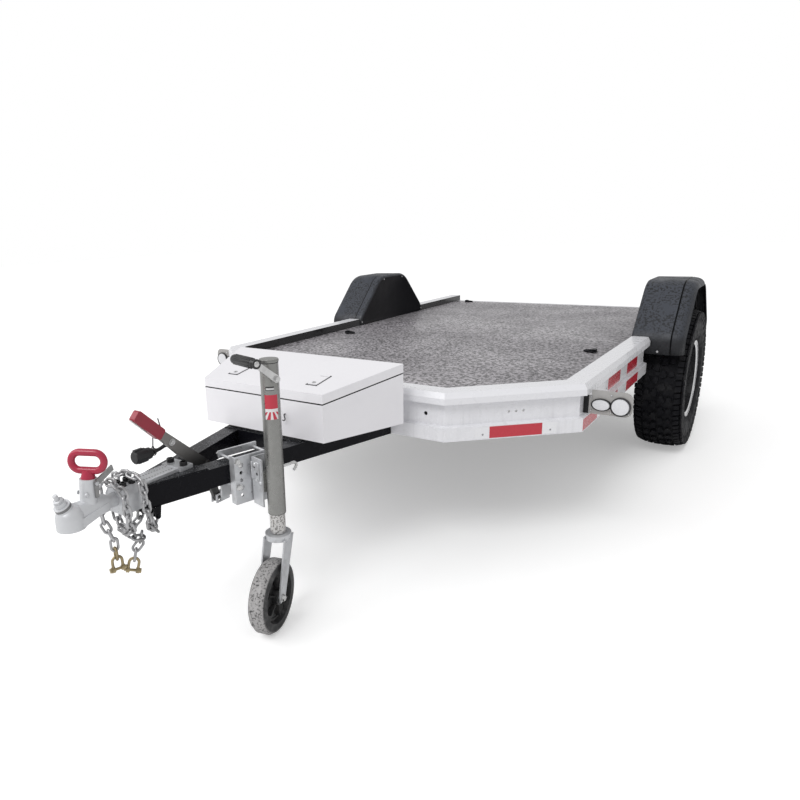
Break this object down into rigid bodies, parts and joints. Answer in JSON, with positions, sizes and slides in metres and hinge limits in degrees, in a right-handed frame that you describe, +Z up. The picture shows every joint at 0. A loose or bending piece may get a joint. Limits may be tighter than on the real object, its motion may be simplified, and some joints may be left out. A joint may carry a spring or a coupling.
{
  "type": "flat-deck quad bike trailer",
  "caption": "Single-axle flat-deck trailer with an A-frame drawbar, front toolbox, swivelling ball coupling, handbrake and a swing-up jockey wheel.",
  "frame": {"origin": "on the ground, under the middle of the whole trailer", "axes": "-Y points to the drawbar end, +X to the left side as it is towed, +Z up"},
  "size_m": [2.224, 4.4435, 0.957],
  "materials": {
    "white_paint": "gloss",
    "white_box": "gloss",
    "deck_grey": "satin, wet",
    "black_paint": "gloss",
    "black_steel": "satin",
    "galvanised": "galvanised",
    "cast_grey": "zinc plated",
    "bright_steel": "bright",
    "tube_grey": "zinc plated",
    "chain_zinc": "zinc plated",
    "dark_steel": "satin",
    "red_grip": "satin",
    "red_handle": "gloss",
    "tyre": "matt",
    "jack_rubber": "matt, dusty",
    "rim_silver": "machined",
    "guard_plastic": "grained",
    "plug_black": "satin",
    "cable_rubber": "satin",
    "lens_clear": "clear over white",
    "lens_red": "gloss",
    "chain_brass": "yellow zinc plated"
  },
  "bodies": {
    "chassis": {"front_rail": "white_paint", "corner_rail_left": "white_paint", "corner_rail_right": "white_paint", "side_rail_left": "white_paint", "side_rail_right": "white_paint", "rear_rail_left": "white_paint", "rear_rail_right": "white_paint", "rear_beam": "white_paint", "deck_plate": "deck_grey", "cross_members": "black_paint", "chassis_rails": "black_paint", "drawbar_left": "black_paint", "drawbar_right": "black_paint", "drawbar_cross_member": "black_paint", "nose_plates": "black_paint", "axle_beam": "black_paint", "stub_axles": "dark_steel", "mudguard_left": "guard_plastic", "mudguard_right": "guard_plastic", "lamp_boards": "galvanised", "lamp_lenses": "lens_clear", "tail_lamps": "lens_red", "tie_down_brackets": "black_paint", "toolbox_tub": "white_box", "coupling_mount": "galvanised", "safety_chains": "chain_zinc", "chain_shackles": "chain_brass", "handbrake_bracket": "dark_steel", "brake_rod_guides": "black_paint", "trailer_plug": "plug_black", "plug_cable": "cable_rubber", "plug_gland": "plug_black", "jack_clamp": "galvanised"},
    "lid": {"toolbox_lid": "white_box", "toolbox_latches": "bright_steel"},
    "head": {"coupling_head": "cast_grey"},
    "pull_handle": {"coupling_handle": "red_handle"},
    "latch": {"coupling_latch": "cast_grey"},
    "brake_lever": {"handbrake_lever": "dark_steel", "handbrake_grip": "red_grip"},
    "brake_pull_rod": {"brake_rod": "galvanised"},
    "jack": {"jack_bracket": "galvanised", "jack_outer_tube": "tube_grey", "jack_pull_pin": "bright_steel"},
    "crank": {"jack_crank": "bright_steel", "jack_grip": "plug_black"},
    "jack_leg": {"jack_inner_tube": "bright_steel"},
    "caster_fork": {"jack_fork": "galvanised"},
    "jockey_wheel": {"jack_wheel": "jack_rubber"},
    "wheel_left": {"hub_left": "bright_steel", "rim_left": "rim_silver", "tyre_left": "tyre"},
    "wheel_right": {"hub_right": "bright_steel", "rim_right": "rim_silver", "tyre_right": "tyre"},
    "tie_ring_front_left": {"ring_front_left": "black_steel"},
    "tie_ring_front_right": {"ring_front_right": "black_steel"},
    "tie_ring_rear_left": {"ring_rear_left": "black_steel"},
    "tie_ring_rear_right": {"ring_rear_right": "black_steel"}
  },
  "joints": [
    {"name": "wheel_spin_left", "type": "hinge", "parent": "chassis", "child": "wheel_left", "pos_m": [1, 1.05577, 0.395], "axis": [1, 0, 0], "continuous": true},
    {"name": "wheel_spin_right", "type": "hinge", "parent": "chassis", "child": "wheel_right", "pos_m": [-1, 1.05577, 0.395], "axis": [1, 0, 0], "continuous": true},
    {"name": "toolbox_lid_hinge", "type": "hinge", "parent": "chassis", "child": "lid", "pos_m": [0, -1.02023, 0.7725], "axis": [-1, 0, 0], "range_deg": [0, 80]},
    {"name": "coupling_swivel", "type": "hinge", "parent": "chassis", "child": "head", "pos_m": [0, -2.03223, 0.548], "axis": [0, 1, 0], "range_deg": [-90, 90]},
    {"name": "handle_lift", "type": "slide", "parent": "head", "child": "pull_handle", "axis": [0, 0.1045, 0.9945], "range_m": [0, 0.02]},
    {"name": "latch_swing", "type": "hinge", "parent": "head", "child": "latch", "pos_m": [0.028, -2.10223, 0.628], "axis": [-1, 0, 0], "range_deg": [0, 15]},
    {"name": "handbrake", "type": "hinge", "parent": "chassis", "child": "brake_lever", "pos_m": [0, -1.66723, 0.53], "axis": [-1, 0, 0], "range_deg": [0, 40]},
    {"name": "brake_rod_pull", "type": "slide", "parent": "chassis", "child": "brake_pull_rod", "axis": [0, -1, 0], "range_m": [0, 0.0895]},
    {"name": "jack_swing", "type": "hinge", "parent": "chassis", "child": "jack", "pos_m": [0.17563, -1.57067, 0.462], "axis": [0.9678, -0.2519, 0], "range_deg": [0, 50]},
    {"name": "crank_turn", "type": "hinge", "parent": "jack", "child": "crank", "pos_m": [0.27599, -1.59679, 0.853], "axis": [0.9678, -0.2519, 0], "range_deg": [-193, 91]},
    {"name": "jack_extend", "type": "slide", "parent": "jack", "child": "jack_leg", "axis": [0, 0, 1], "range_m": [-0.15, 0.06]},
    {"name": "caster_swivel", "type": "hinge", "parent": "jack_leg", "child": "caster_fork", "pos_m": [0.24696, -1.58923, 0.315], "axis": [0, 0, 1], "continuous": true},
    {"name": "jockey_wheel_spin", "type": "hinge", "parent": "caster_fork", "child": "jockey_wheel", "pos_m": [0.26319, -1.65732, 0.1235], "axis": [0.9727, 0.2319, 0], "continuous": true},
    {"name": "tie_ring_front_left", "type": "hinge", "parent": "chassis", "child": "tie_ring_front_left", "pos_m": [0.745, 0.30777, 0.6523], "axis": [0, 1, 0], "range_deg": [0, 165]},
    {"name": "tie_ring_rear_left", "type": "hinge", "parent": "chassis", "child": "tie_ring_rear_left", "pos_m": [0.745, 2.10777, 0.6523], "axis": [0, 1, 0], "range_deg": [0, 165]},
    {"name": "tie_ring_front_right", "type": "hinge", "parent": "chassis", "child": "tie_ring_front_right", "pos_m": [-0.745, 0.30777, 0.6523], "axis": [0, -1, 0], "range_deg": [0, 165]},
    {"name": "tie_ring_rear_right", "type": "hinge", "parent": "chassis", "child": "tie_ring_rear_right", "pos_m": [-0.745, 2.10777, 0.6523], "axis": [0, -1, 0], "range_deg": [0, 165]}
  ],
  "couplings": [
    {"joint": "brake_rod_pull", "follows": "handbrake", "m_per_rad": 0.12738}
  ]
}
